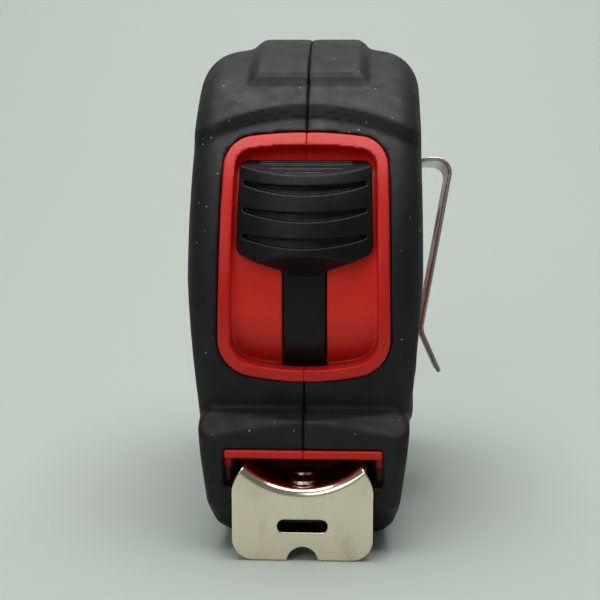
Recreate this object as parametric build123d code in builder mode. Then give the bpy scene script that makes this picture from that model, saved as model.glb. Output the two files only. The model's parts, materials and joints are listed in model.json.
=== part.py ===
from build123d import *
import math
import os

os.makedirs("parts", exist_ok=True)

# Frame: X across the case (+X is the belt clip side), the blade leaves towards -Y, +Z is up.
# The origin is the centre of the flat base. Everything is in millimetres.

# Driving dimensions of the case
half_width = 21.7
waist_half = 19.9
front_radius, front_y, front_z = 49.0, 5.0, 42.0
back_y = 41.0
top_z = front_z + front_radius
back_top_radius = 30.0
back_low_radius = 16.0
front_low_radius = 15.0
edge_round = 6.0
rubber = 2.2
plastic = 2.0

# Reel and blade
reel_y, reel_z = -1.0, 50.0
coil_radius = 31.5
drum_radius = 20.5
flange_radius = 32.5
blade_width = 25.0
blade_thick = 0.3
blade_curve = 17.0
blade_half_chord = 11.25
blade_low_z = 12.15
blade_front_y = -49.0
blade_rear_y = 27.0
curve_z = blade_low_z + blade_curve
axle_radius = 3.0
running_fit = 0.05

# Lock: the button slides on a cylinder about the X direction
track_y, track_z, track_radius = -5.5, 46.5, 35.5
floor_thick = 1.7
bezel_half, bezel_high_half = 15.7, 15.1
bezel_rim = 2.2
bezel_proud = 0.6
button_half = 12.4
tongue_half = 3.9

# End hook
hook_width = 25.4
hook_sheet = 1.0
hook_face_y = -50.0
hook_low_z = 0.1
hook_play = 1.0
strap_length, strap_half_angle, hook_bend = 13.5, 42, 1.6
rivet_ys = (-45.5, -39.5)

# Nose
nose_half = 19.6
nose_front_y = -47.3
nose_top_z = 24.9
facet_front_y, facet_slope = -46.6, (0.145, -0.89, 1)
mouth_half = 13.1
mouth_low_z, mouth_high_z = 9.0, 18.1
mouth_frame, lip_strip = 1.3, 1.6
mouth_side_z, mouth_low_half = 12.6, 12.4

nose_rear_y = -18.0
nose_round = 3.0
mouth_rear_y = -31.5

# Raised shapes of the rubber: an arched brow over the bezel, bevelled in steps, and a top pad
cap_rise, pad_rise, pad_half, pad_bevel = 1.7, 1.6, 12.0, 2.1
pad_front_y, pad_rear_y = -23.0, 19.0
roof_z, roof_side_z = 94.6, 90.3
brow_z, brow_drop, brow_steps, brow_step_z = 79.2, 7.2, 3, 1.0
bezel_low_z, bezel_high_z = 31.6, 76.2

# Side panels, screws and the belt clip
panel_face, panel_y, panel_z = 21.0, -1.0, 50.5
panel_long, panel_high, panel_corner = 62.0, 45.0, 13.0
screw_places = ((8.5, 85.0), (33.5, 70.0), (32.0, 11.5), (-27.0, 6.8))
screw_radius, screw_seat_x, screw_tip_x = 1.4, -15.4, 9.0
pocket_radius, boss_radius, boss_reach = 2.8, 3.4, 15.8
axle_half = 17.0
clip_y, clip_z, clip_sheet, clip_width, clip_tilt = 4.0, 56.0, 0.8, 18.0, 8.0
clip_loop_high = 13.2
bumper_box = ((-9, 9), (-48.8, -44.5), (7.0, 8.9))

# Reel details, mainspring, rivets and button
flange_in, flange_thick = 13.1, 1.2
flange_out = flange_in + flange_thick
drum_wall = 1.6
spring_half, spring_thick, spring_pitch = 12.0, 0.35, 1.25
spring_start, spring_half_turns = 3.9, 22
rivet_radius, strap_hole, strap_gap = 1.0, 1.1, 0.05
button_rise, button_side_rise, button_gap = 6.0, 2.2, 0.3
button_high_angle, button_low_angle = 58.0, -8.0
groove_zs, groove_reach = (66.2, 61.6, 57.0), 11.2
groove_depth, groove_half, groove_drop = 0.9, 0.8, 1.2

track_axis = Axis((0, track_y, track_z), (1, 0, 0))


def save(piece, name):
    """Labels one finished piece and writes it under its own name."""
    piece.label = name
    export_step(piece, f"parts/{name}.step")


def front_outline(inset, lift):
    """Case outline seen from the front, moved in by inset, its roof raised by lift."""
    with BuildSketch(Plane.XZ) as front:
        with BuildLine():
            flank = Polyline(
                (0, -5),
                (17.8, -5),
                (waist_half, 28),
                (half_width, 50),
                (half_width - 0.2, 74),
                (half_width - 0.4, roof_side_z + lift),
                (0, roof_z + lift),
            )
            mirror(flank, about=Plane.YZ)
        make_face()
        fillet(front.vertices().sort_by(Axis.Y)[-3:-1], radius=8)
        if inset:
            offset(amount=-inset)
    return front.sketch


def main_solid(inset, extra=0.0, lift=0.0):
    """Case without its nose: side outline grown by extra, everything moved in by inset."""
    with BuildPart() as envelope:
        with BuildSketch(Plane.YZ) as side:
            with BuildLine():
                reach = front_radius - front_low_radius
                drop = front_z - front_low_radius
                centre_y = front_y - math.sqrt(reach**2 - drop**2)
                away = math.atan2(drop, front_y - centre_y)
                touch = (
                    front_y - front_radius * math.cos(away),
                    front_z - front_radius * math.sin(away),
                )
                mid = away / 2 - math.pi / 4
                ThreePointArc(
                    touch,
                    (
                        front_y + front_radius * math.cos(math.pi + mid),
                        front_z - front_radius * math.sin(math.pi + mid),
                    ),
                    (front_y, top_z),
                )
                top_line = Line((front_y, top_z), (back_y - back_top_radius, top_z))
                back_top = TangentArc(
                    top_line @ 1, (back_y, top_z - back_top_radius), tangent=(1, 0)
                )
                back_line = Line(back_top @ 1, (back_y, back_low_radius))
                back_low = TangentArc(
                    back_line @ 1, (back_y - back_low_radius, 0), tangent=(0, -1)
                )
                Line(back_low @ 1, (centre_y, 0))
                TangentArc((centre_y, 0), touch, tangent=(-1, 0))
            make_face()
            offset(amount=extra - inset)
        extrude(amount=half_width - inset, both=True)
        rim = envelope.faces().filter_by(Axis.X).edges()
        fillet(rim, radius=max(edge_round - inset, 1.5))
        extrude(to_extrude=front_outline(inset, lift), amount=80, both=True, mode=Mode.INTERSECT)
    return envelope.part


def nose_solid(inset):
    """Nose block around the mouth with its receding chin, moved in by inset."""
    with BuildPart() as nose:
        with BuildSketch(Plane.YZ) as side:
            with BuildLine():
                Polyline(
                    (nose_rear_y, 0),
                    (-34, 0),
                    (-40.5, 4.2),
                    (-46.3, 9.0),
                    (nose_front_y, 19),
                    (-46.5, nose_top_z),
                    (-41.5, nose_top_z + 1.4),
                    (nose_rear_y, nose_top_z + 1.4),
                    close=True,
                )
            make_face()
            if inset:
                offset(amount=-inset, kind=Kind.INTERSECTION)
        extrude(amount=nose_half - inset, both=True)
        rim = nose.faces().filter_by(Axis.X).edges().filter_by(lambda edge: edge.center().Y < -40)
        fillet(rim, radius=nose_round - inset / 2)
        with BuildSketch(Plane.XZ) as front:
            with BuildLine():
                Polyline((-18.6, 0), (18.6, 0), (nose_half, 27), (-nose_half, 27), close=True)
            make_face()
            fillet(front.vertices().group_by(Axis.Y)[0], radius=8.5)
            if inset:
                offset(amount=-inset)
        extrude(amount=60, mode=Mode.INTERSECT)
        split(bisect_by=Plane.YZ, keep=Keep.TOP)
        facet = Plane(origin=(0, facet_front_y, nose_top_z - inset), z_dir=facet_slope)
        split(bisect_by=facet, keep=Keep.BOTTOM)
        mirror(about=Plane.YZ)
    return nose.part


def body(inset):
    """Whole case envelope, moved inwards by inset."""
    with BuildPart() as whole:
        add(main_solid(inset))
        add(nose_solid(inset))
    return whole.part


def brow(rise, low_z):
    """Layer over the crown, as high as rise, above an arched line that meets the middle at low_z."""
    with BuildPart() as layer:
        add(main_solid(0, rise))
        with BuildSketch(Plane.XZ):
            with BuildLine():
                arch = ThreePointArc((-24, low_z - brow_drop), (0, low_z), (24, low_z - brow_drop))
                Polyline(arch @ 1, (24, 110), (-24, 110), arch @ 0)
            make_face()
        extrude(amount=80, both=True, mode=Mode.INTERSECT)
    return layer.part


def top_pad(rise, half, front_edge):
    """One layer of the raised pad along the crown."""
    with BuildPart() as pad:
        add(main_solid(0, cap_rise + rise, pad_rise))
        with BuildSketch(Plane.XY.offset(78)):
            with Locations((0, (front_edge + pad_rear_y) / 2)):
                Rectangle(2 * half, pad_rear_y - front_edge)
        extrude(amount=30, mode=Mode.INTERSECT)
    return pad.part


def bezel_outline(shrink):
    """Outline of the lock recess seen from the front, shrunk by the given width."""
    low_side, high_side = bezel_low_z + 2.6, bezel_high_z - 1.4
    with BuildSketch(Plane.XZ) as outline:
        with BuildLine():
            bottom = ThreePointArc(
                (-bezel_half, low_side), (0, bezel_low_z), (bezel_half, low_side)
            )
            right = Line(bottom @ 1, (bezel_high_half, high_side))
            top = ThreePointArc(right @ 1, (0, bezel_high_z), (-bezel_high_half, high_side))
            Line(top @ 1, bottom @ 0)
        make_face()
        fillet(outline.vertices().group_by(Axis.Y)[-1], radius=5.5)
        fillet(outline.vertices().group_by(Axis.Y)[0], radius=7)
        if shrink:
            offset(amount=-shrink)
    return outline.sketch


def track_ring(low_radius, high_radius, half, start, sweep):
    """Curved bar on the lock track from angle start downwards, as wide as twice half."""
    turn = math.radians(start)
    across = Plane(
        origin=(0, track_y, track_z),
        x_dir=(1, 0, 0),
        z_dir=(0, -math.sin(turn), -math.cos(turn)),
    )
    with BuildPart() as bar:
        with BuildSketch(across):
            with Locations((0, (low_radius + high_radius) / 2)):
                Rectangle(2 * half, high_radius - low_radius)
        revolve(axis=track_axis, revolution_arc=sweep)
    return bar.part


def bezel_plug():
    """Hard block that fills the rubber's front window, down to the back of the recess floor."""
    with BuildPart() as plug:
        add(main_solid(0, bezel_proud))
        extrude(to_extrude=bezel_outline(0), amount=60, mode=Mode.INTERSECT)
        with BuildSketch(Plane.YZ):
            with Locations((track_y, track_z)):
                Circle(track_radius - floor_thick)
        extrude(amount=half_width, both=True, mode=Mode.SUBTRACT)
    return plug.part


def recess_space():
    """Space in front of the recess floor, inside the bezel."""
    with BuildPart() as space:
        extrude(to_extrude=bezel_outline(bezel_rim), amount=60)
        with BuildSketch(Plane.YZ):
            with Locations((track_y, track_z)):
                Circle(track_radius)
        extrude(amount=half_width, both=True, mode=Mode.SUBTRACT)
    return space.part


def panel_block(low_x, high_x):
    """Rounded block of the side panel between two X values."""
    with BuildPart() as block:
        with BuildSketch(Plane.YZ.offset(low_x)):
            with Locations((panel_y, panel_z)):
                RectangleRounded(panel_long, panel_high, panel_corner)
        extrude(amount=high_x - low_x)
    return block.part


def across_cylinder(y, z, radius, low_x, high_x):
    """Cylinder along X at (y, z)."""
    with BuildPart() as rod:
        with BuildSketch(Plane.YZ.offset(low_x)):
            with Locations((y, z)):
                Circle(radius)
        extrude(amount=high_x - low_x)
    return rod.part


def block(x, y, z):
    """Box from three (low, high) pairs."""
    with BuildPart() as box:
        with BuildSketch(Plane.XY.offset(z[0])):
            with Locations(((x[0] + x[1]) / 2, (y[0] + y[1]) / 2)):
                Rectangle(x[1] - x[0], y[1] - y[0])
        extrude(amount=z[1] - z[0])
    return box.part


def trough(low_radius, high_radius, half_angle, low_y, high_y):
    """Curved strip along Y with the blade's hollow side up."""
    half = math.radians(half_angle)
    with BuildPart() as strip:
        with BuildSketch(Plane.XZ.offset(-high_y)):
            with BuildLine():
                under = ThreePointArc(
                    (-high_radius * math.sin(half), curve_z - high_radius * math.cos(half)),
                    (0, curve_z - high_radius),
                    (high_radius * math.sin(half), curve_z - high_radius * math.cos(half)),
                )
                over = ThreePointArc(
                    (low_radius * math.sin(half), curve_z - low_radius * math.cos(half)),
                    (0, curve_z - low_radius),
                    (-low_radius * math.sin(half), curve_z - low_radius * math.cos(half)),
                )
                Line(under @ 1, over @ 0)
                Line(over @ 1, under @ 0)
            make_face()
        extrude(amount=high_y - low_y)
    return strip.part


# Rubber grips: a skin outside the hard case with windows for bezel, mouth and side panels
with BuildPart() as rubber_skin:
    add(body(0))
    for step in range(brow_steps):
        add(brow(cap_rise * (step + 1) / brow_steps, brow_z + step * brow_step_z))
    for step in range(brow_steps):
        share = (step + 1) / brow_steps
        add(top_pad(pad_rise * share, pad_half - share * pad_bevel, pad_front_y + share * pad_bevel))
    for side in (-1, 1):
        with BuildSketch(Plane.YZ.offset(side * (waist_half - 1.5))):
            with Locations((-20, 22.5)):
                Ellipse(7, 3.4)
        extrude(amount=side * 2.3)
    add(body(rubber), mode=Mode.SUBTRACT)
    extrude(to_extrude=bezel_outline(0), amount=60, mode=Mode.SUBTRACT)
    add(panel_block(panel_face - 6, 30), mode=Mode.SUBTRACT)
    add(panel_block(-30, 6 - panel_face), mode=Mode.SUBTRACT)
    frame_half = mouth_half + mouth_frame
    strip_z = mouth_high_z + lip_strip
    add(
        block((-frame_half, frame_half), (-60, mouth_rear_y), (mouth_side_z, strip_z)),
        mode=Mode.SUBTRACT,
    )
    add(
        block((-mouth_low_half, mouth_low_half), (-60, mouth_rear_y), (mouth_low_z - 1.3, strip_z)),
        mode=Mode.SUBTRACT,
    )
    for y, z in screw_places:
        add(across_cylinder(y, z, pocket_radius, -30, screw_seat_x), mode=Mode.SUBTRACT)
        add(across_cylinder(y, z, boss_radius, -boss_reach, boss_reach), mode=Mode.SUBTRACT)
    add(block(*bumper_box), mode=Mode.SUBTRACT)

for side, name in ((-1, "grip_left"), (1, "grip_right")):
    with BuildPart() as grip:
        add(rubber_skin.part)
        keep = Keep.TOP if side > 0 else Keep.BOTTOM
        split(bisect_by=Plane.YZ, keep=keep)
    save(grip.part, name)

# Hard case: hollow shell with bezel plug, side panels, mouth frame, bosses and axle sockets
with BuildPart() as hard_case:
    add(body(rubber))
    add(body(rubber + plastic), mode=Mode.SUBTRACT)
    add(bezel_plug())
    add(panel_block(panel_face - 4.4, panel_face))
    add(panel_block(-panel_face, 4.4 - panel_face))
    add(
        block(
            (-frame_half, frame_half), (nose_front_y + 0.1, mouth_rear_y), (mouth_high_z, strip_z)
        )
    )
    side_front_y = nose_front_y + 4.5
    add(block((-frame_half, frame_half), (side_front_y, mouth_rear_y), (mouth_side_z, strip_z)))
    add(
        block(
            (-mouth_low_half, mouth_low_half),
            (side_front_y - 3, mouth_rear_y),
            (mouth_low_z - 1.3, mouth_side_z),
        )
    )
    for y, z in screw_places:
        add(across_cylinder(y, z, boss_radius, -boss_reach, boss_reach))
    for side in (-1, 1):
        socket = sorted((side * 14.9, side * 17.6))
        add(across_cylinder(reel_y, reel_z, 6.0, *socket))
    add(across_cylinder(reel_y, reel_z, axle_radius, -axle_half, axle_half), mode=Mode.SUBTRACT)
    add(recess_space(), mode=Mode.SUBTRACT)
    add(track_ring(33.3, 36.4, tongue_half + 0.15, 15, 90), mode=Mode.SUBTRACT)
    add(track_ring(32.4, track_radius - floor_thick - 0.05, 8, 20, 45), mode=Mode.SUBTRACT)
    add(
        block((-mouth_half, mouth_half), (-60, -20), (mouth_side_z, mouth_high_z)),
        mode=Mode.SUBTRACT,
    )
    throat_half = mouth_low_half - 0.9
    add(
        block((-throat_half, throat_half), (-60, -20), (mouth_low_z, mouth_high_z)),
        mode=Mode.SUBTRACT,
    )
    for y, z in screw_places:
        add(across_cylinder(y, z, pocket_radius, -30, screw_seat_x), mode=Mode.SUBTRACT)
        add(across_cylinder(y, z, screw_radius + 0.15, screw_seat_x, 0), mode=Mode.SUBTRACT)
        add(across_cylinder(y, z, screw_radius, 0, screw_tip_x), mode=Mode.SUBTRACT)
    add(across_cylinder(clip_y, clip_z, 1.5, panel_face - 3.2, panel_face), mode=Mode.SUBTRACT)
    add(block(*bumper_box), mode=Mode.SUBTRACT)

for side, name in ((-1, "case_left"), (1, "case_right")):
    with BuildPart() as half:
        add(hard_case.part)
        keep = Keep.TOP if side > 0 else Keep.BOTTOM
        split(bisect_by=Plane.YZ, keep=keep)
    save(half.part, name)

# Axle post with a slot for the mainspring's inner end
with BuildPart() as axle:
    add(across_cylinder(reel_y, reel_z, axle_radius, -axle_half, axle_half))
    slot_half = spring_half + 0.6
    add(
        block((-slot_half, slot_half), (reel_y - 0.3, reel_y + 0.3), (reel_z, reel_z + 4)),
        mode=Mode.SUBTRACT,
    )
save(axle.part, "axle_post")

# Thrust washers between the axle sockets and the reel's hubs
with BuildPart() as washers:
    for low_x in (-14.85, 14.4):
        with BuildSketch(Plane.YZ.offset(low_x)):
            with Locations((reel_y, reel_z)):
                Circle(6.0)
                Circle(axle_radius + running_fit, mode=Mode.SUBTRACT)
        extrude(amount=0.45)
save(washers.part, "thrust_washers")


def reel_disc(low_x, thick, high_radius, low_radius):
    """Ring about the reel axis from low_x, as thick as given."""
    with BuildPart() as disc:
        with BuildSketch(Plane.YZ.offset(low_x)):
            with Locations((reel_y, reel_z)):
                Circle(high_radius)
                Circle(low_radius, mode=Mode.SUBTRACT)
        extrude(amount=thick)
    return disc.part


# Reel: drum with its own flange, a second flange that closes the spring chamber, and the coil
bore = axle_radius + running_fit
with BuildPart() as drum:
    add(reel_disc(-flange_out, flange_thick, flange_radius, bore))
    add(reel_disc(-flange_in, 2 * flange_in, drum_radius, drum_radius - drum_wall))
    for turn in range(6):
        angle = math.radians(60 * turn)
        middle_y = reel_y + 26 * math.cos(angle)
        middle_z = reel_z + 26 * math.sin(angle)
        add(
            across_cylinder(middle_y, middle_z, 3.2, -flange_out, -flange_in),
            mode=Mode.SUBTRACT,
        )
save(drum.part, "reel_drum")

with BuildPart() as cover:
    add(reel_disc(flange_in, flange_thick, flange_radius, bore))
    for turn in range(6):
        angle = math.radians(60 * turn)
        middle_y = reel_y + 26 * math.cos(angle)
        middle_z = reel_z + 26 * math.sin(angle)
        add(across_cylinder(middle_y, middle_z, 3.2, flange_in, flange_out), mode=Mode.SUBTRACT)
save(cover.part, "reel_cover")

with BuildPart() as coil:
    add(reel_disc(-blade_width / 2, blade_width, coil_radius, drum_radius))
save(coil.part, "blade_coil")

# Mainspring: a spiral strip of half turns from the axle's slot out to the drum
def spiral_edge(shift_radius):
    """Points and middles of the spiral's half turns, moved out by shift_radius."""
    turns = []
    for half_turn in range(spring_half_turns):
        way = 1 if half_turn % 2 == 0 else -1
        centre = reel_y - way * spring_pitch / 4
        radius = spring_start + half_turn * spring_pitch / 2 + shift_radius
        start = (centre + way * radius, reel_z)
        middle = (centre, reel_z + way * radius)
        finish = (centre - way * radius, reel_z)
        turns.append((start, middle, finish))
    return turns


with BuildPart() as mainspring:
    with BuildSketch(Plane.YZ.offset(-spring_half)):
        with BuildLine():
            outer_turns = spiral_edge(spring_thick / 2)
            inner_turns = spiral_edge(-spring_thick / 2)
            for points in outer_turns + inner_turns:
                ThreePointArc(*points)
            Line(outer_turns[0][0], inner_turns[0][0])
            Line(outer_turns[-1][2], inner_turns[-1][2])
        make_face()
    extrude(amount=2 * spring_half)
save(mainspring.part, "mainspring")

# Blade: the straight end under the reel, hollow side up, with two rivet holes
with BuildPart() as lead:
    half_angle = math.degrees(math.asin(blade_half_chord / blade_curve))
    add(
        trough(
            blade_curve - blade_thick / 2,
            blade_curve + blade_thick / 2,
            half_angle,
            blade_front_y,
            blade_rear_y,
        )
    )
    for y in rivet_ys:
        with BuildSketch(Plane.XY):
            with Locations((0, y)):
                Circle(rivet_radius)
        extrude(amount=30, mode=Mode.SUBTRACT)
save(lead.part, "blade_lead")

# Rivets: shank through blade and strap, a wide head above and a flat one below
strap_low = blade_curve - blade_thick / 2 - strap_gap
strap_high = strap_low - hook_sheet
with BuildPart() as rivets:
    for y in rivet_ys:
        for low_z, high_z, radius in (
            (curve_z - blade_curve - 0.65, curve_z - blade_curve - 0.15, 1.9),
            (curve_z - blade_curve - 0.65, curve_z - strap_high + 0.75, rivet_radius),
            (curve_z - strap_high + 0.2, curve_z - strap_high + 0.75, 2.3),
        ):
            with BuildSketch(Plane.XY.offset(low_z)):
                with Locations((0, y)):
                    Circle(radius)
            extrude(amount=high_z - low_z)
save(rivets.part, "hook_rivets")

# End hook: front plate with slot and nail notch, bent back into the strap on the blade
hook_side_z, shoulder_x, shoulder_z, hook_corner = 11.4, 12.4, 14.4, 3.8
nail_slot_z, nail_slot_length, nail_slot_width = 6.5, 9.1, 2.4
notch_radius, notch_drop = 2.8, 0.3
with BuildPart() as hook:
    sheet_low_z = curve_z - strap_high - 2 * hook_width
    with BuildSketch(Plane.YZ) as profile:
        with BuildLine():
            Polyline(
                (hook_face_y, sheet_low_z),
                (hook_face_y, curve_z - strap_high),
                (hook_face_y + strap_length, curve_z - strap_high),
                (hook_face_y + strap_length, curve_z - strap_low),
                (hook_face_y + hook_sheet, curve_z - strap_low),
                (hook_face_y + hook_sheet, sheet_low_z),
                close=True,
            )
        make_face()
        bend = profile.vertices().group_by(Axis.Y)[-1].sort_by(Axis.X)[0]
        fillet(bend, radius=hook_bend)
    revolve(axis=Axis((0, 0, curve_z), (0, 1, 0)), revolution_arc=360)
    with BuildSketch(Plane.XZ.offset(-hook_face_y - strap_length - 1)) as outline:
        with BuildLine():
            tip_angle = math.radians(strap_half_angle)
            tip = (strap_high * math.sin(tip_angle), curve_z - strap_high * math.cos(tip_angle))
            Polyline(
                (-hook_width / 2, hook_side_z),
                (-hook_width / 2, hook_low_z),
                (hook_width / 2, hook_low_z),
                (hook_width / 2, hook_side_z),
            )
            ThreePointArc((hook_width / 2, hook_side_z), (shoulder_x, shoulder_z), tip)
            Polyline(tip, (0, curve_z), (-tip[0], tip[1]))
            ThreePointArc((-tip[0], tip[1]), (-shoulder_x, shoulder_z), (-hook_width / 2, hook_side_z))
        make_face()
        fillet(outline.vertices().group_by(Axis.Y)[0], radius=hook_corner)
        with Locations((0, nail_slot_z)):
            SlotOverall(nail_slot_length, nail_slot_width, mode=Mode.SUBTRACT)
        with Locations((0, hook_low_z - notch_drop)):
            Circle(notch_radius, mode=Mode.SUBTRACT)
    extrude(amount=strap_length + 2, mode=Mode.INTERSECT)
    for y in rivet_ys:
        with BuildSketch(Plane.XY.offset(10)):
            with Locations((0, y + hook_play / 2)):
                SlotOverall(2 * strap_hole + hook_play, 2 * strap_hole, rotation=90)
        extrude(amount=10, mode=Mode.SUBTRACT)
save(hook.part, "end_hook")

# Mouth guide: wear block under the blade, hollowed to its curve, with a groove for rivet heads
with BuildPart() as guide:
    add(block((-11.4, 11.4), (-44.5, -33.0), (mouth_low_z, 11.9)))
    with BuildSketch(Plane.XZ):
        with Locations((0, curve_z)):
            Circle(blade_curve + 0.5)
    extrude(amount=60, mode=Mode.SUBTRACT)
    add(block((-3.3, 3.3), (-50, -30), (10.9, 13)), mode=Mode.SUBTRACT)
save(guide.part, "mouth_guide")

# Hook bumper: rubber strip under the mouth that takes the hook's return
with BuildPart() as bumper:
    add(block(*bumper_box))
save(bumper.part, "hook_bumper")


def crown(drop):
    """Rounded bar of the lock button along its track, lowered by drop."""
    turn = math.radians(button_high_angle)
    across = Plane(
        origin=(0, track_y, track_z),
        x_dir=(1, 0, 0),
        z_dir=(0, -math.sin(turn), -math.cos(turn)),
    )
    side_radius = track_radius + button_side_rise - drop
    with BuildPart() as bar:
        with BuildSketch(across):
            with BuildLine():
                over = ThreePointArc(
                    (-button_half, side_radius),
                    (0, track_radius + button_rise - drop),
                    (button_half, side_radius),
                )
                low = track_radius + button_gap
                Polyline(over @ 1, (button_half, low), (-button_half, low), over @ 0)
            make_face()
        revolve(axis=track_axis, revolution_arc=button_high_angle - button_low_angle)
    return bar.part


# Lock button: crowned body with sloping shelf, three smile grooves and ribs on the shelf
with BuildPart() as button:
    add(crown(0))
    with BuildSketch(Plane.YZ):
        with BuildLine():
            Polyline((-30.6, 71.5), (-50, 66.3), (-50, 58.1), (-38, 48.2), (-28, 48.2), close=True)
        make_face()
    extrude(amount=button_half, both=True, mode=Mode.INTERSECT)
    with BuildSketch(Plane.XZ) as front:
        with BuildLine():
            Polyline(
                (0, 50.2),
                (button_half, 55.0),
                (12.1, 71.2),
                (-12.1, 71.2),
                (-button_half, 55.0),
                close=True,
            )
        make_face()
        fillet(front.vertices().group_by(Axis.Y)[1], radius=2.0)
        fillet(front.vertices().group_by(Axis.Y)[-1], radius=1.6)
    extrude(amount=60, mode=Mode.INTERSECT)
    for middle_z in groove_zs:
        with BuildSketch(Plane.XZ):
            with BuildLine():
                ends = middle_z + groove_drop
                for lift, end_lift in ((-groove_half, -0.45), (groove_half, 0.25)):
                    ThreePointArc(
                        (-groove_reach, ends + end_lift),
                        (0, middle_z + lift),
                        (groove_reach, ends + end_lift),
                    )
                for side in (-groove_reach, groove_reach):
                    Line((side, ends - 0.45), (side, ends + 0.25))
            make_face()
        groove = extrude(amount=60, mode=Mode.PRIVATE)
        add(groove - crown(groove_depth), mode=Mode.SUBTRACT)
    add(track_ring(track_radius - 0.1, track_radius + button_gap, tongue_half, 13, 6))
    for back, rib_half in ((2.4, 8.5), (4.8, 6.5), (7.2, 3.4)):
        rib_y, rib_z = -31.2 - back, 71.35 - 0.268 * back
        add(block((-rib_half, rib_half), (rib_y - 0.45, rib_y + 0.45), (rib_z - 1.5, rib_z + 0.4)))
save(button.part, "lock_button")

# Lock tongue: spring strip behind the floor, with a wide foot that keeps the button on its track
with BuildPart() as tongue:
    add(track_ring(33.6, track_radius - 0.1, tongue_half, 13, 66))
    add(track_ring(33.0, 33.6, 7.0, 13, 11))
save(tongue.part, "lock_tongue")

# Brake pad under the tongue's tip
with BuildPart() as pad:
    add(track_ring(track_radius - 0.1, 36.0, 2.6, -46.5, 6))
save(pad.part, "brake_pad")

# Case screws, all driven from the -X side
with BuildPart() as screws:
    for y, z in screw_places:
        add(across_cylinder(y, z, 2.6, screw_seat_x - 1.8, screw_seat_x))
        add(across_cylinder(y, z, screw_radius, screw_seat_x, screw_tip_x - 0.6))
        add(
            block(
                (screw_seat_x - 2, screw_seat_x - 0.9), (y - 1.7, y + 1.7), (z - 0.3, z + 0.3)
            ),
            mode=Mode.SUBTRACT,
        )
        add(
            block(
                (screw_seat_x - 2, screw_seat_x - 0.9), (y - 0.3, y + 0.3), (z - 1.7, z + 1.7)
            ),
            mode=Mode.SUBTRACT,
        )
save(screws.part, "case_screws")

# Side badge: plain raised disc on the -X panel
with BuildPart() as badge:
    add(across_cylinder(reel_y + 3, panel_z, 13.5, -panel_face - 0.5, -panel_face))
    chamfer(badge.faces().sort_by(Axis.X)[0].edges(), length=0.3)
save(badge.part, "side_badge")

# Belt clip: sprung sheet with a flat inner leg, a loop on top and a flared outer leg
tilt = math.radians(clip_tilt)
clip_plane = Plane(
    origin=(0, clip_y, clip_z),
    x_dir=(1, 0, 0),
    z_dir=(0, -math.cos(tilt), math.sin(tilt)),
)
with BuildPart() as clip:
    with BuildSketch(clip_plane):
        with BuildLine():
            sheet_line = FilletPolyline(
                (panel_face, -9),
                (panel_face, clip_loop_high),
                (panel_face + 8.5, clip_loop_high),
                (panel_face + 2.2, -22.5),
                (panel_face + 6.0, -31.0),
                radius=3.25,
            )
            offset(sheet_line.wire(), amount=clip_sheet, side=Side.LEFT)
        make_face()
    extrude(amount=clip_width / 2, both=True)
    add(across_cylinder(clip_y, clip_z, 1.6, panel_face - 1, panel_face + 1.4), mode=Mode.SUBTRACT)
    add(across_cylinder(clip_y, clip_z, 3.4, panel_face + 2.5, panel_face + 12), mode=Mode.SUBTRACT)
save(clip.part, "belt_clip")

with BuildPart() as clip_fixing:
    add(across_cylinder(clip_y, clip_z, 1.5, panel_face - 3.1, panel_face + clip_sheet))
    add(across_cylinder(clip_y, clip_z, 2.9, panel_face + clip_sheet, panel_face + clip_sheet + 1.4))
    slot = block(
        (panel_face + 1.6, panel_face + 3), (clip_y - 2, clip_y + 2), (clip_z - 0.35, clip_z + 0.35)
    )
    add(slot, mode=Mode.SUBTRACT)
save(clip_fixing.part, "clip_screw")
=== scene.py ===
"""Looks of a rubber-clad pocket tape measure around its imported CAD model. Metres, row frame."""

import json
import math
import bmesh
import bpy
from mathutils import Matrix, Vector


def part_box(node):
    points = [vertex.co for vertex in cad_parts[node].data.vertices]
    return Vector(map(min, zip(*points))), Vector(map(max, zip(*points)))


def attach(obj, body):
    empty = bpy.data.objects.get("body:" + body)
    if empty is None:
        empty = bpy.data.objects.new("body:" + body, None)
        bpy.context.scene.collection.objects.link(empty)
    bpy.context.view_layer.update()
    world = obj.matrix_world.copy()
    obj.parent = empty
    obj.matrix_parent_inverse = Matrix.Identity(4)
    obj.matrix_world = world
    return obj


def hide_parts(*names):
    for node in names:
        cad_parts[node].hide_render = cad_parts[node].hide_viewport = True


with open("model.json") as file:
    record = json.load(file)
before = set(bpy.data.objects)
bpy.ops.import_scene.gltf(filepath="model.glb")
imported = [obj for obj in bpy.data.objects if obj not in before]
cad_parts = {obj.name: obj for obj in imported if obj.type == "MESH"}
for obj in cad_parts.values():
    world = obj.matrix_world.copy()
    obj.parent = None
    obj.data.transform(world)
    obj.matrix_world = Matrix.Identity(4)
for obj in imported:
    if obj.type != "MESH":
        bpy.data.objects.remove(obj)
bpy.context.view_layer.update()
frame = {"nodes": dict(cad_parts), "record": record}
nodes = frame["nodes"]
MM = 0.001

# Camera: it stands level with the roof, close in front of the end hook, and looks a little down
# and a little from the belt clip's side.
hook_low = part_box("end_hook")[0]
camera_gap, camera_height, camera_nudge = 0.235, 0.085, 0.0004
camera_turn, camera_tilt = math.radians(2.5), math.radians(81)
camera_data = bpy.data.cameras.new("camera")
camera_data.lens = 81.6
camera_data.sensor_width = 36
camera = bpy.data.objects.new("camera", camera_data)
camera_x = camera_gap * math.tan(camera_turn) - camera_nudge
camera.location = (camera_x, hook_low.y - camera_gap, camera_height)
camera.rotation_euler = (camera_tilt, 0, camera_turn)
bpy.context.collection.objects.link(camera)
bpy.context.scene.camera = camera

# Rubber grips: two black overmoulds clasp the case and meet on the middle plane in a fine groove.
# They are remeshed from the CAD so that every edge is as soft as moulded rubber, and the flanks of
# the nose are drawn in towards the base.
slots = {entry["node"]: entry["material_slot"] for entry in frame["record"]["subparts"]}
materials = {}
triangle_limit = 190000
nose_draw = 2.1 * MM
grip_voxel, grip_smoothing = 0.4 * MM, 14


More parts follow.
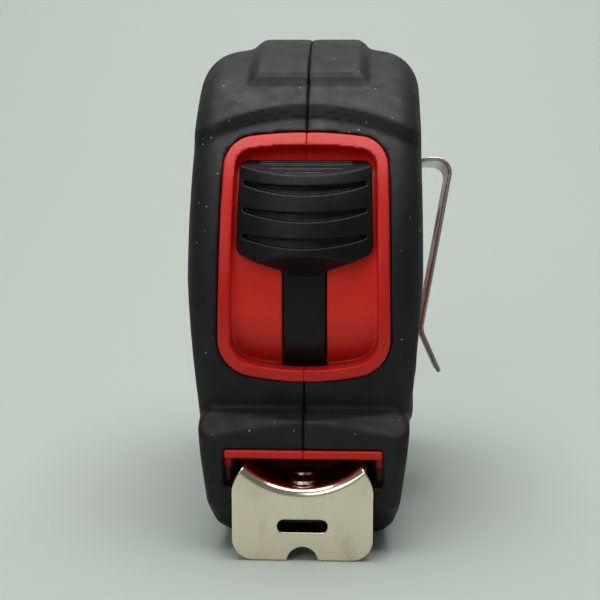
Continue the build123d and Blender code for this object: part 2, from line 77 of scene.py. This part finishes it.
def new_material(name, color, roughness, metallic=0.0, specular=0.5):
    """Material with a Principled shader."""
    material = bpy.data.materials.new(name)
    material.use_nodes = True
    shader = material.node_tree.nodes["Principled BSDF"]
    shader.inputs["Base Color"].default_value = (*color, 1)
    shader.inputs["Roughness"].default_value = roughness
    shader.inputs["Metallic"].default_value = metallic
    shader.inputs["Specular IOR Level"].default_value = specular
    return material, material.node_tree, shader


def place(tree, scale=(1, 1, 1)):
    """Object coordinates, stretched by scale."""
    coordinates = tree.nodes.new("ShaderNodeTexCoord")
    mapping = tree.nodes.new("ShaderNodeMapping")
    mapping.inputs["Scale"].default_value = scale
    tree.links.new(coordinates.outputs["Object"], mapping.inputs["Vector"])
    return mapping.outputs["Vector"]


def noise(tree, scale, detail=3.0, stretch=(1, 1, 1)):
    """Noise value with its grain per metre given by scale."""
    texture = tree.nodes.new("ShaderNodeTexNoise")
    texture.inputs["Scale"].default_value = scale
    texture.inputs["Detail"].default_value = detail
    tree.links.new(place(tree, stretch), texture.inputs["Vector"])
    return texture.outputs["Fac"]


def ramp(tree, value, low, high, from_value, to_value):
    """Maps a value from low..high onto from_value..to_value, held at both ends."""
    span = tree.nodes.new("ShaderNodeMapRange")
    for name, number in (
        ("From Min", low),
        ("From Max", high),
        ("To Min", from_value),
        ("To Max", to_value),
    ):
        span.inputs[name].default_value = number
    tree.links.new(value, span.inputs["Value"])
    return span.outputs["Result"]


def mix(tree, factor, color_a, color_b):
    """Mixes two colours, each given as numbers or as a socket."""
    blend = tree.nodes.new("ShaderNodeMix")
    blend.data_type = "RGBA"
    tree.links.new(factor, blend.inputs["Factor"])
    for name, color in (("A", color_a), ("B", color_b)):
        socket = [entry for entry in blend.inputs if entry.name == name and entry.type == "RGBA"][0]
        if isinstance(color, tuple):
            socket.default_value = (*color, 1)
        else:
            tree.links.new(color, socket)
    return [entry for entry in blend.outputs if entry.type == "RGBA"][0]


def bump(tree, shader, height, strength, distance):
    """Adds a bump to the shader's normal."""
    relief = tree.nodes.new("ShaderNodeBump")
    relief.inputs["Strength"].default_value = strength
    relief.inputs["Distance"].default_value = distance
    tree.links.new(height, relief.inputs["Height"])
    tree.links.new(relief.outputs["Normal"], shader.inputs["Normal"])


def calc(tree, operation, first, second=0.0):
    """Value of a math node whose inputs are sockets or plain numbers."""
    step = tree.nodes.new("ShaderNodeMath")
    step.operation = operation
    for socket, value in zip(step.inputs, (first, second)):
        if isinstance(value, (int, float)):
            socket.default_value = value
        else:
            tree.links.new(value, socket)
    return step.outputs[0]


def rubber():
    """Black soft-touch rubber: fine grain, faint mottling and sparse pale dust."""
    color = (0.008, 0.008, 0.0085)
    material, tree, shader = new_material("black_rubber", color, 0.6, specular=0.35)
    mottle = ramp(tree, noise(tree, 120, 4), 0.35, 0.7, 0, 1)
    tone = mix(tree, mottle, (0.005, 0.005, 0.0055), (0.009, 0.009, 0.0096))
    specks = tree.nodes.new("ShaderNodeTexVoronoi")
    specks.inputs["Scale"].default_value = 620
    tree.links.new(place(tree), specks.inputs["Vector"])
    spot = ramp(tree, specks.outputs["Distance"], 0.07, 0.13, 1, 0)
    pick = tree.nodes.new("ShaderNodeSeparateColor")
    tree.links.new(specks.outputs["Color"], pick.inputs["Color"])
    chosen = ramp(tree, pick.outputs["Red"], 0.72, 0.95, 0, 1)
    dust = calc(tree, "MULTIPLY", spot, chosen)
    tree.links.new(mix(tree, dust, tone, (0.3, 0.3, 0.29)), shader.inputs["Base Color"])
    tree.links.new(ramp(tree, noise(tree, 300, 3), 0.3, 0.7, 0.5, 0.66), shader.inputs["Roughness"])
    bump(tree, shader, noise(tree, 4500, 4), 0.35, 0.00008)
    return material


def dress(slot, material):
    """Gives a material to every CAD node with that slot."""
    materials[slot] = material
    for name, node in nodes.items():
        if slots[name] == slot:
            node.data.materials.clear()
            node.data.materials.append(material)


def merged_copy(node):
    """Merged bmesh copy of a CAD node."""
    build = bmesh.new()
    build.from_mesh(nodes[node].data)
    bmesh.ops.remove_doubles(build, verts=build.verts, dist=1e-6)
    bmesh.ops.recalc_face_normals(build, faces=build.faces)
    return build


def add_piece(name, build, node, body):
    """Turns a bmesh into a piece in its CAD node's material that rides on a body."""
    mesh = bpy.data.meshes.new(name)
    build.to_mesh(mesh)
    build.free()
    mesh.materials.append(materials[slots[node]])
    piece = bpy.data.objects.new(name, mesh)
    bpy.context.collection.objects.link(piece)
    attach(piece, body)
    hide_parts(node)
    return piece


def mould(piece, voxel, smooth):
    """Remeshes a closed piece finely and smooths it, so that its edges turn soft."""
    remesh = piece.modifiers.new("remesh", "REMESH")
    remesh.mode = "VOXEL"
    remesh.voxel_size = voxel
    remesh.use_smooth_shade = True
    depsgraph = bpy.context.evaluated_depsgraph_get()
    triangles = 2 * len(piece.evaluated_get(depsgraph).data.polygons)
    soften = piece.modifiers.new("soften", "SMOOTH")
    soften.factor = 0.5
    soften.iterations = smooth
    if triangles > triangle_limit:
        thin = piece.modifiers.new("thin", "DECIMATE")
        thin.ratio = triangle_limit / triangles
    applied = bpy.data.meshes.new_from_object(
        piece.evaluated_get(bpy.context.evaluated_depsgraph_get())
    )
    piece.modifiers.clear()
    piece.data = applied
    for polygon in applied.polygons:
        polygon.use_smooth = True
    return piece


def soft_copy(name, node, voxel, smooth, body):
    """Copy of a CAD node with moulded edges."""
    return mould(add_piece(name, merged_copy(node), node, body), voxel, smooth)


def share(value, low, high):
    """Share of the way from low to high, held between 0 and 1."""
    return min(max((value - low) / (high - low), 0), 1)


def slim_nose(piece):
    """Draws the nose's flanks in towards the base, a little more the lower they are."""
    for vertex in piece.data.vertices:
        point = vertex.co
        outward = share(abs(point.x), 14 * MM, 20.5 * MM)
        downward = share(-point.z, -26 * MM, -6 * MM)
        forward = share(-point.y, 4 * MM, 30 * MM)
        shift = nose_draw * outward * downward**1.5 * forward
        point.x -= math.copysign(shift, point.x)


dress("black_rubber", rubber())
for side in ("left", "right"):
    slim_nose(soft_copy(f"grip_{side}_skin", f"grip_{side}", grip_voxel, grip_smoothing, "case"))

# Case halves: hard red plastic, glossy enough to catch the light on the bezel round the recess.
# The front between the flanks is remeshed finely, and the flanks and the rear, mostly under the
# rubber, keep the CAD's faces, so that the side panels have no seam.
front_cut_y, flank_cut_x = -20 * MM, 17.5 * MM
track_y, track_z = -5.5 * MM, 46.5 * MM
case_voxel, case_smoothing = 0.25 * MM, 7


def red_plastic():
    """Red moulded plastic, with painted light and shade on the recess floor and painted shade under
    the mouth's lip.
    """
    material, tree, shader = new_material("red_plastic", (0.6, 0.014, 0.008), 0.4, specular=0.3)
    drift = ramp(tree, noise(tree, 90, 3), 0.3, 0.7, 0, 1)
    tone = mix(tree, drift, (0.6, 0.012, 0.007), (0.7, 0.018, 0.011))
    split = tree.nodes.new("ShaderNodeSeparateXYZ")
    tree.links.new(place(tree), split.inputs["Vector"])
    from_track_y = calc(tree, "SUBTRACT", split.outputs["Y"], track_y)
    from_track_z = calc(tree, "SUBTRACT", split.outputs["Z"], track_z)
    square_y = calc(tree, "MULTIPLY", from_track_y, from_track_y)
    square_z = calc(tree, "MULTIPLY", from_track_z, from_track_z)
    radius = calc(tree, "SQRT", calc(tree, "ADD", square_y, square_z))
    on_floor = ramp(tree, radius, 36.2 * MM, 37.6 * MM, 1, 0)
    from_middle = calc(tree, "ABSOLUTE", split.outputs["X"])
    near_middle = ramp(tree, from_middle, 14.2 * MM, 15.4 * MM, 1, 0)
    recess = calc(tree, "MULTIPLY", on_floor, near_middle)
    # Painted light and shade: the recess floor is painted dark at the bottom and bright higher up.
    recess_painted_light = ramp(tree, split.outputs["Z"], 34 * MM, 44 * MM, 0, 1)
    recess_painted_light_and_shade = mix(tree, recess_painted_light, (0.4, 0.008, 0.006), (0.95, 0.03, 0.018))
    tone = mix(tree, recess, tone, recess_painted_light_and_shade)
    # Painted shade: the plastic under the lip of the mouth is painted a dark maroon.
    painted_shade_under_lip = ramp(tree, split.outputs["Z"], 15.8 * MM, 16.6 * MM, 1, 0)
    tree.links.new(mix(tree, painted_shade_under_lip, tone, (0.06, 0.003, 0.003)), shader.inputs["Base Color"])
    tree.links.new(ramp(tree, noise(tree, 700, 2), 0.3, 0.7, 0.3, 0.42), shader.inputs["Roughness"])
    bump(tree, shader, noise(tree, 5200, 2), 0.2, 0.00005)
    return material


def keep_side(build, plane_point, outward):
    """Keeps what lies behind a plane with the given outward normal and closes the cut."""
    bmesh.ops.bisect_plane(
        build,
        geom=build.verts[:] + build.edges[:] + build.faces[:],
        plane_co=plane_point,
        plane_no=outward,
        clear_outer=True,
    )
    bmesh.ops.holes_fill(build, edges=[edge for edge in build.edges if edge.is_boundary], sides=0)


dress("red_plastic", red_plastic())
for side, sign in (("left", -1), ("right", 1)):
    node = f"case_{side}"
    flank_point = (sign * flank_cut_x, 0, 0)
    front_build = merged_copy(node)
    keep_side(front_build, (0, front_cut_y, 0), (0, 1, 0))
    keep_side(front_build, flank_point, (sign, 0, 0))
    front = add_piece(f"{node}_front", front_build, node, "case")
    slim_nose(mould(front, case_voxel, case_smoothing))
    flank_build = merged_copy(node)
    keep_side(flank_build, (0, front_cut_y, 0), (0, 1, 0))
    keep_side(flank_build, flank_point, (-sign, 0, 0))
    slim_nose(add_piece(f"{node}_flank", flank_build, node, "case"))
    rear_build = merged_copy(node)
    keep_side(rear_build, (0, front_cut_y, 0), (0, -1, 0))
    slim_nose(add_piece(f"{node}_rear", rear_build, node, "case"))

# Lock: a ribbed black button slides down the curved track of the recess with its tongue. Both are
# satin black plastic, moulded with softly rounded ribs.
button_voxel, tongue_voxel = 0.17 * MM, 0.25 * MM


def black_plastic():
    """Black moulded plastic of the lock button and its tongue."""
    color = (0.004, 0.004, 0.0045)
    material, tree, shader = new_material("lock_plastic", color, 0.42, specular=0.25)
    tree.links.new(ramp(tree, noise(tree, 500, 3), 0.3, 0.7, 0.36, 0.5), shader.inputs["Roughness"])
    bump(tree, shader, noise(tree, 6500, 3), 0.3, 0.00005)
    return material


dress("lock_plastic", black_plastic())
soft_copy("lock_button_cap", "lock_button", button_voxel, 6, "lock")
soft_copy("lock_tongue_strip", "lock_tongue", tongue_voxel, 3, "lock")

# End hook and rivets: pressed from plated sheet that bends back under the blade. Two rivets hold
# its strap, and slots in the strap give it 1 mm of play.
hook_voxel, rivet_voxel = 0.16 * MM, 0.1 * MM


def hook_metal():
    """Warm plated sheet: satin on the flat front, polished where it bends, with faint smudges."""
    material, tree, shader = new_material("hook_plate", (0.86, 0.75, 0.58), 0.25, 1.0)
    geometry = tree.nodes.new("ShaderNodeNewGeometry")
    split = tree.nodes.new("ShaderNodeSeparateXYZ")
    tree.links.new(geometry.outputs["Normal"], split.inputs["Vector"])
    flat = ramp(tree, split.outputs["Y"], -0.995, -0.93, 1, 0)
    satin = ramp(tree, noise(tree, 160, 4), 0.35, 0.7, 0.24, 0.34)
    finish = tree.nodes.new("ShaderNodeMix")
    finish.inputs[2].default_value = 0.15
    tree.links.new(flat, finish.inputs[0])
    tree.links.new(satin, finish.inputs[3])
    tree.links.new(finish.outputs[0], shader.inputs["Roughness"])
    smudge = ramp(tree, noise(tree, 180, 5, (1, 1, 0.5)), 0.52, 0.72, 0, 1)
    tone = mix(tree, smudge, (0.88, 0.77, 0.6), (0.7, 0.6, 0.46))
    tree.links.new(tone, shader.inputs["Base Color"])
    bump(tree, shader, noise(tree, 900, 3, (1, 1, 0.3)), 0.01, 0.00004)
    return material


dress("hook_plate", hook_metal())
soft_copy("end_hook_sheet", "end_hook", hook_voxel, 4, "hook")
soft_copy("hook_rivet_heads", "hook_rivets", rivet_voxel, 5, "blade")

# Blade: a curved steel strip in yellow lacquer, with a plain millimetre scale along both edges. The
# wound turns on the reel share its finish, and the CAD's own faces are fine enough for both.


def blade_paint():
    """Yellow lacquer with black scale ticks at every millimetre along both edges."""
    yellow, ink = (0.85, 0.55, 0.03), (0.01, 0.01, 0.01)
    material, tree, shader = new_material("blade_yellow", yellow, 0.3)
    split = tree.nodes.new("ShaderNodeSeparateXYZ")
    tree.links.new(place(tree), split.inputs["Vector"])
    side = calc(tree, "ABSOLUTE", split.outputs["X"])
    ticks = 0.0
    for pitch, low_x in ((1, 9.3), (5, 8.3), (10, 6.9)):
        turn = calc(tree, "FRACT", calc(tree, "MULTIPLY", split.outputs["Y"], 1000 / pitch))
        line = calc(tree, "LESS_THAN", turn, 0.22 / pitch)
        outer = calc(tree, "GREATER_THAN", side, low_x * MM)
        ticks = calc(tree, "MAXIMUM", ticks, calc(tree, "MULTIPLY", line, outer))
    tree.links.new(mix(tree, ticks, yellow, ink), shader.inputs["Base Color"])
    bump(tree, shader, noise(tree, 3000, 2), 0.1, 0.00003)
    return material


dress("blade_yellow", blade_paint())

# Belt clip, screws, axle and mainspring: bare steel. The clip is one bent sheet, brushed along its
# length and held by a screw, and its edges are rounded by a fine remesh.
clip_voxel = 0.2 * MM


def metal(name, color, low, high, grain=(1, 1, 1), grain_scale=900, relief=0.08):
    """Metal with roughness between low and high and a grain stretched by grain."""
    material, tree, shader = new_material(name, color, low, 1.0)
    streaks = noise(tree, grain_scale, 4, grain)
    tree.links.new(ramp(tree, streaks, 0.3, 0.7, low, high), shader.inputs["Roughness"])
    dull = tuple(channel * 0.82 for channel in color)
    patches = ramp(tree, noise(tree, 160, 4), 0.35, 0.7, 0, 1)
    tree.links.new(mix(tree, patches, color, dull), shader.inputs["Base Color"])
    bump(tree, shader, streaks, relief, 0.00005)
    return material


upright_grain, crosswise_grain = (1, 1, 0.06), (0.1, 1, 1)
dress("clip_steel", metal("clip_steel", (0.55, 0.55, 0.54), 0.25, 0.4, upright_grain, 2500))
dress("screw_steel", metal("screw_steel", (0.5, 0.5, 0.51), 0.25, 0.4))
dress("axle_steel", metal("axle_steel", (0.55, 0.55, 0.56), 0.15, 0.3, crosswise_grain, 2500))
dress("spring_steel", metal("spring_steel", (0.16, 0.18, 0.24), 0.2, 0.35))
soft_copy("belt_clip_sheet", "belt_clip", clip_voxel, 4, "case")

# Reel, washers, mouth guide and badge: plain moulded plastics. The badge is a flat round disc on
# the left panel, and the rest lies inside the case.


def plain_plastic(name, color, roughness):
    """Moulded plastic of the inner pieces."""
    material, tree, shader = new_material(name, color, roughness)
    darker = tuple(channel * 0.8 for channel in color)
    patches = ramp(tree, noise(tree, 200, 3), 0.35, 0.7, 0, 1)
    tree.links.new(mix(tree, patches, color, darker), shader.inputs["Base Color"])
    bump(tree, shader, noise(tree, 3000, 2), 0.15, 0.00005)
    return material


dress("acetal", plain_plastic("acetal", (0.75, 0.73, 0.68), 0.4))
dress("reel_plastic", plain_plastic("reel_plastic", (0.06, 0.06, 0.065), 0.45))
dress("badge_plastic", plain_plastic("badge_plastic", (0.03, 0.03, 0.032), 0.25))

# Floor and backdrop: one pale grey-green sheet, which rises behind the object in a wide bend.
floor_color = (0.51, 0.565, 0.52)
floor_material = new_material("floor", floor_color, 0.7, specular=0.2)[0]
wall_y, sweep_radius, floor_reach = 0.42, 0.36, 3.2
sweep = bmesh.new()
bmesh.ops.create_grid(sweep, x_segments=1, y_segments=1, size=floor_reach)
back_edges = [edge for edge in sweep.edges if all(vertex.co.y > 0 for vertex in edge.verts)]
for edge in back_edges:
    for vertex in edge.verts:
        vertex.co.y = wall_y
raised = bmesh.ops.extrude_edge_only(sweep, edges=back_edges)
for vertex in [entry for entry in raised["geom"] if isinstance(entry, bmesh.types.BMVert)]:
    vertex.co.z += floor_reach
fold = [
    edge
    for edge in sweep.edges
    if all(vertex.co.y > wall_y / 2 and vertex.co.z < wall_y / 2 for vertex in edge.verts)
]
bmesh.ops.bevel(
    sweep,
    geom=fold,
    offset=sweep_radius,
    offset_type="OFFSET",
    segments=32,
    profile=0.5,
    affect="EDGES",
    material=-1,
)
floor_mesh = bpy.data.meshes.new("floor")
sweep.to_mesh(floor_mesh)
sweep.free()
floor_mesh.materials.append(floor_material)
for polygon in floor_mesh.polygons:
    polygon.use_smooth = True
floor = bpy.data.objects.new("floor", floor_mesh)
bpy.context.collection.objects.link(floor)

# Light: a large softbox over the object, a weaker one in front of it, and a faint pale surround.


def softbox(name, place_at, aim, size, power):
    """Square area light aimed at a point."""
    light_data = bpy.data.lights.new(name, "AREA")
    light_data.shape = "SQUARE"
    light_data.size = size
    light_data.energy = power
    light = bpy.data.objects.new(name, light_data)
    light.location = place_at
    direction = Vector(aim) - Vector(place_at)
    light.rotation_euler = direction.to_track_quat("-Z", "Y").to_euler()
    bpy.context.collection.objects.link(light)


softbox("top_light", (0.0, 0.0, 0.62), (0, 0.02, 0.05), 0.55, 3.9)
softbox("front_light", (-0.3, -0.8, 0.55), (0, 0, 0.05), 0.5, 1.3)
world = bpy.data.worlds.new("world")
world.use_nodes = True
surround = world.node_tree.nodes["Background"]
surround.inputs["Color"].default_value = (0.9, 0.95, 0.92, 1)
surround.inputs["Strength"].default_value = 0.17
bpy.context.scene.world = world
bpy.context.scene.view_settings.view_transform = "Standard"
